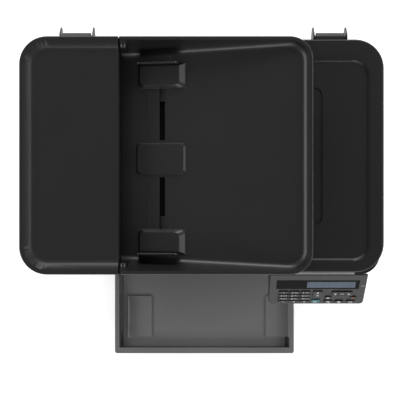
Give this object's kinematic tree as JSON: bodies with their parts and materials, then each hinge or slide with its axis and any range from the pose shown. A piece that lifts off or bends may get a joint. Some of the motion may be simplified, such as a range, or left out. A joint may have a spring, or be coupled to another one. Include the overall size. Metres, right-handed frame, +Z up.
{
  "type": "laser printer",
  "caption": "Black laser printer with a document feeder, flatbed scanner, tilted key panel and folding paper tray.",
  "frame": {"origin": "middle of the footprint with the paper tray open, at the level of the feet", "axes": "+Z up; the front, with the paper tray and the key panel, faces -Y; +X is to the right seen from the front"},
  "size_m": [0.42, 0.414, 0.306],
  "materials": {
    "shell_black": "fine moulded texture",
    "tray_grey": "satin moulded",
    "lid_black": "fine moulded texture",
    "feeder_black": "satin moulded",
    "chassis_black": "plain moulded",
    "rubber": "matt",
    "steel": "plated",
    "coated_metal": "smooth coating",
    "gear_plastic": "plain moulded",
    "board_green": "solder resist",
    "pane": "polished",
    "display_gloss": "polished",
    "pad_white": "soft foam with a smooth face",
    "key_black": "satin",
    "key_teal": "satin"
  },
  "bodies": {
    "root": {"bottom_chassis": "chassis_black", "left_cover": "shell_black", "right_cover": "shell_black", "front_cover": "shell_black", "rear_cover": "shell_black", "top_cover": "shell_black", "inner_frame": "steel", "rubber_feet": "rubber", "rear_sockets": "chassis_black", "circuit_boards": "board_green", "main_motor": "steel", "laser_unit": "chassis_black", "toner_cartridge": "chassis_black", "panel_housing": "shell_black", "display": "display_gloss"},
    "scanner": {"scanner_housing": "shell_black", "scanner_glass": "pane", "carriage_rail": "steel", "lid_hinges": "shell_black"},
    "lid": {"flatbed_lid": "lid_black", "lid_pad": "pad_white", "feeder_base": "feeder_black"},
    "feeder_cover": {"feeder_cover": "feeder_black"},
    "document_tray": {"document_tray": "feeder_black"},
    "rear_guide": {"document_guide_rear": "feeder_black"},
    "front_guide": {"document_guide_front": "feeder_black"},
    "paper_tray": {"front_tray": "tray_grey"},
    "left_paper_guide": {"tray_guide_left": "tray_grey"},
    "right_paper_guide": {"tray_guide_right": "tray_grey"},
    "cartridge_door": {"cartridge_door": "shell_black"},
    "scan_carriage": {"scan_carriage": "chassis_black"},
    "heat_roller": {"heat_roller": "coated_metal"},
    "pressure_roller": {"pressure_roller": "rubber"},
    "transfer_roller": {"transfer_roller": "rubber"},
    "imaging_drum": {"imaging_drum": "coated_metal"},
    "pickup_roller": {"pickup_roller": "rubber"},
    "motor_pinion": {"motor_pinion": "gear_plastic"},
    "feed_roller": {"feed_roller": "rubber"},
    "power_button": {"power_button": "key_black"},
    "key_1": {"key_1": "key_black"},
    "key_2": {"key_2": "key_black"},
    "key_3": {"key_3": "key_black"},
    "key_4": {"key_4": "key_black"},
    "key_5": {"key_5": "key_black"},
    "key_6": {"key_6": "key_black"},
    "key_7": {"key_7": "key_black"},
    "key_8": {"key_8": "key_black"},
    "key_9": {"key_9": "key_black"},
    "key_star": {"key_star": "key_black"},
    "key_0": {"key_0": "key_black"},
    "key_hash": {"key_hash": "key_black"},
    "start_key": {"start_key": "key_teal"},
    "menu_key": {"menu_key": "key_black"},
    "copy_key": {"copy_key": "key_black"},
    "fax_key": {"fax_key": "key_black"},
    "scan_key": {"scan_key": "key_black"},
    "cancel_key": {"cancel_key": "key_black"},
    "ok_key": {"ok_key": "key_black"},
    "scroll_key": {"scroll_key": "key_black"},
    "arrow_key": {"arrow_key": "key_black"}
  },
  "joints": [
    {"name": "scanner_lift", "type": "hinge", "parent": "root", "child": "scanner", "pos_m": [0, 0.184, 0.2032], "axis": [-1, 0, 0], "range_deg": [0, 35]},
    {"name": "lid_lift", "type": "hinge", "parent": "scanner", "child": "lid", "pos_m": [0, 0.1935, 0.2405], "axis": [-1, 0, 0], "range_deg": [0, 80]},
    {"name": "feeder_cover_lift", "type": "hinge", "parent": "lid", "child": "feeder_cover", "pos_m": [-0.2065, 0, 0.29], "axis": [0, -1, 0], "range_deg": [0, 75]},
    {"name": "document_tray_lift", "type": "hinge", "parent": "lid", "child": "document_tray", "pos_m": [-0.0928, 0, 0.3014], "axis": [0, -1, 0], "range_deg": [0, 40]},
    {"name": "rear_guide_slide", "type": "slide", "parent": "document_tray", "child": "rear_guide", "axis": [0, 1, 0], "range_m": [-0.055, 0]},
    {"name": "front_guide_slide", "type": "slide", "parent": "document_tray", "child": "front_guide", "axis": [0, 1, 0], "range_m": [0, 0.055]},
    {"name": "paper_tray_fold", "type": "hinge", "parent": "root", "child": "paper_tray", "pos_m": [0, -0.084, 0.026], "axis": [-1, 0, 0], "range_deg": [0, 90]},
    {"name": "left_paper_guide_slide", "type": "slide", "parent": "paper_tray", "child": "left_paper_guide", "axis": [1, 0, 0], "range_m": [0, 0.055]},
    {"name": "right_paper_guide_slide", "type": "slide", "parent": "paper_tray", "child": "right_paper_guide", "axis": [1, 0, 0], "range_m": [-0.055, 0]},
    {"name": "cartridge_door_lift", "type": "hinge", "parent": "root", "child": "cartridge_door", "pos_m": [0, 0.096, 0.1235], "axis": [-1, 0, 0], "range_deg": [0, 28]},
    {"name": "carriage_slide", "type": "slide", "parent": "scanner", "child": "scan_carriage", "axis": [1, 0, 0], "range_m": [0, 0.308]},
    {"name": "heat_roller_spin", "type": "hinge", "parent": "root", "child": "heat_roller", "pos_m": [0, 0.144, 0.14], "axis": [1, 0, 0], "continuous": true},
    {"name": "motor_spin", "type": "hinge", "parent": "root", "child": "motor_pinion", "pos_m": [0, 0.1188, 0.1064], "axis": [1, 0, 0], "continuous": true},
    {"name": "pressure_roller_spin", "type": "hinge", "parent": "root", "child": "pressure_roller", "pos_m": [0, 0.144, 0.1156], "axis": [1, 0, 0], "continuous": true},
    {"name": "transfer_roller_spin", "type": "hinge", "parent": "root", "child": "transfer_roller", "pos_m": [0, 0.058, 0.084], "axis": [1, 0, 0], "continuous": true},
    {"name": "drum_spin", "type": "hinge", "parent": "root", "child": "imaging_drum", "pos_m": [0, 0.058, 0.1044], "axis": [1, 0, 0], "continuous": true},
    {"name": "pickup_roller_spin", "type": "hinge", "parent": "root", "child": "pickup_roller", "pos_m": [0, 0.088, 0.056], "axis": [1, 0, 0], "continuous": true},
    {"name": "feed_roller_spin", "type": "hinge", "parent": "lid", "child": "feed_roller", "pos_m": [-0.113, 0, 0.2756], "axis": [0, 1, 0], "continuous": true},
    {"name": "power_button_press", "type": "slide", "parent": "root", "child": "power_button", "axis": [0, 1, 0], "range_m": [0, 0.002], "stiffness_N_per_m": 800},
    {"name": "scroll_key_rock", "type": "hinge", "parent": "root", "child": "scroll_key", "pos_m": [0.1398, -0.11164, 0.17324], "axis": [1, 0, 0], "range_deg": [-2.5, 2.5], "stiffness_Nm_per_rad": 0.03},
    {"name": "arrow_key_rock", "type": "hinge", "parent": "root", "child": "arrow_key", "pos_m": [0.1701, -0.11139, 0.17355], "axis": [0, -0.6337, -0.7736], "range_deg": [-2.5, 2.5], "stiffness_Nm_per_rad": 0.03},
    {"name": "start_key_press", "type": "slide", "parent": "root", "child": "start_key", "axis": [0, 0.7736, -0.6337], "range_m": [0, 0.001], "stiffness_N_per_m": 600},
    {"name": "menu_key_press", "type": "slide", "parent": "root", "child": "menu_key", "axis": [0, 0.7736, -0.6337], "range_m": [0, 0.001], "stiffness_N_per_m": 600},
    {"name": "copy_key_press", "type": "slide", "parent": "root", "child": "copy_key", "axis": [0, 0.7736, -0.6337], "range_m": [0, 0.001], "stiffness_N_per_m": 600},
    {"name": "fax_key_press", "type": "slide", "parent": "root", "child": "fax_key", "axis": [0, 0.7736, -0.6337], "range_m": [0, 0.001], "stiffness_N_per_m": 600},
    {"name": "scan_key_press", "type": "slide", "parent": "root", "child": "scan_key", "axis": [0, 0.7736, -0.6337], "range_m": [0, 0.001], "stiffness_N_per_m": 600},
    {"name": "cancel_key_press", "type": "slide", "parent": "root", "child": "cancel_key", "axis": [0, 0.7736, -0.6337], "range_m": [0, 0.001], "stiffness_N_per_m": 600},
    {"name": "ok_key_press", "type": "slide", "parent": "root", "child": "ok_key", "axis": [0, 0.7736, -0.6337], "range_m": [0, 0.001], "stiffness_N_per_m": 600},
    {"name": "key_1_press", "type": "slide", "parent": "root", "child": "key_1", "axis": [0, 0.7736, -0.6337], "range_m": [0, 0.001], "stiffness_N_per_m": 600},
    {"name": "key_2_press", "type": "slide", "parent": "root", "child": "key_2", "axis": [0, 0.7736, -0.6337], "range_m": [0, 0.001], "stiffness_N_per_m": 600},
    {"name": "key_3_press", "type": "slide", "parent": "root", "child": "key_3", "axis": [0, 0.7736, -0.6337], "range_m": [0, 0.001], "stiffness_N_per_m": 600},
    {"name": "key_4_press", "type": "slide", "parent": "root", "child": "key_4", "axis": [0, 0.7736, -0.6337], "range_m": [0, 0.001], "stiffness_N_per_m": 600},
    {"name": "key_5_press", "type": "slide", "parent": "root", "child": "key_5", "axis": [0, 0.7736, -0.6337], "range_m": [0, 0.001], "stiffness_N_per_m": 600},
    {"name": "key_6_press", "type": "slide", "parent": "root", "child": "key_6", "axis": [0, 0.7736, -0.6337], "range_m": [0, 0.001], "stiffness_N_per_m": 600},
    {"name": "key_7_press", "type": "slide", "parent": "root", "child": "key_7", "axis": [0, 0.7736, -0.6337], "range_m": [0, 0.001], "stiffness_N_per_m": 600},
    {"name": "key_8_press", "type": "slide", "parent": "root", "child": "key_8", "axis": [0, 0.7736, -0.6337], "range_m": [0, 0.001], "stiffness_N_per_m": 600},
    {"name": "key_9_press", "type": "slide", "parent": "root", "child": "key_9", "axis": [0, 0.7736, -0.6337], "range_m": [0, 0.001], "stiffness_N_per_m": 600},
    {"name": "key_star_press", "type": "slide", "parent": "root", "child": "key_star", "axis": [0, 0.7736, -0.6337], "range_m": [0, 0.001], "stiffness_N_per_m": 600},
    {"name": "key_0_press", "type": "slide", "parent": "root", "child": "key_0", "axis": [0, 0.7736, -0.6337], "range_m": [0, 0.001], "stiffness_N_per_m": 600},
    {"name": "key_hash_press", "type": "slide", "parent": "root", "child": "key_hash", "axis": [0, 0.7736, -0.6337], "range_m": [0, 0.001], "stiffness_N_per_m": 600}
  ],
  "couplings": [
    {"joint": "cartridge_door_lift", "follows": "scanner_lift", "ratio": 0.8},
    {"joint": "front_guide_slide", "follows": "rear_guide_slide", "ratio": -1},
    {"joint": "right_paper_guide_slide", "follows": "left_paper_guide_slide", "ratio": -1},
    {"joint": "motor_spin", "follows": "heat_roller_spin", "ratio": -3},
    {"joint": "pressure_roller_spin", "follows": "heat_roller_spin", "ratio": -1},
    {"joint": "drum_spin", "follows": "heat_roller_spin", "ratio": 1},
    {"joint": "transfer_roller_spin", "follows": "heat_roller_spin", "ratio": -1.5},
    {"joint": "pickup_roller_spin", "follows": "heat_roller_spin", "ratio": 0.75}
  ]
}
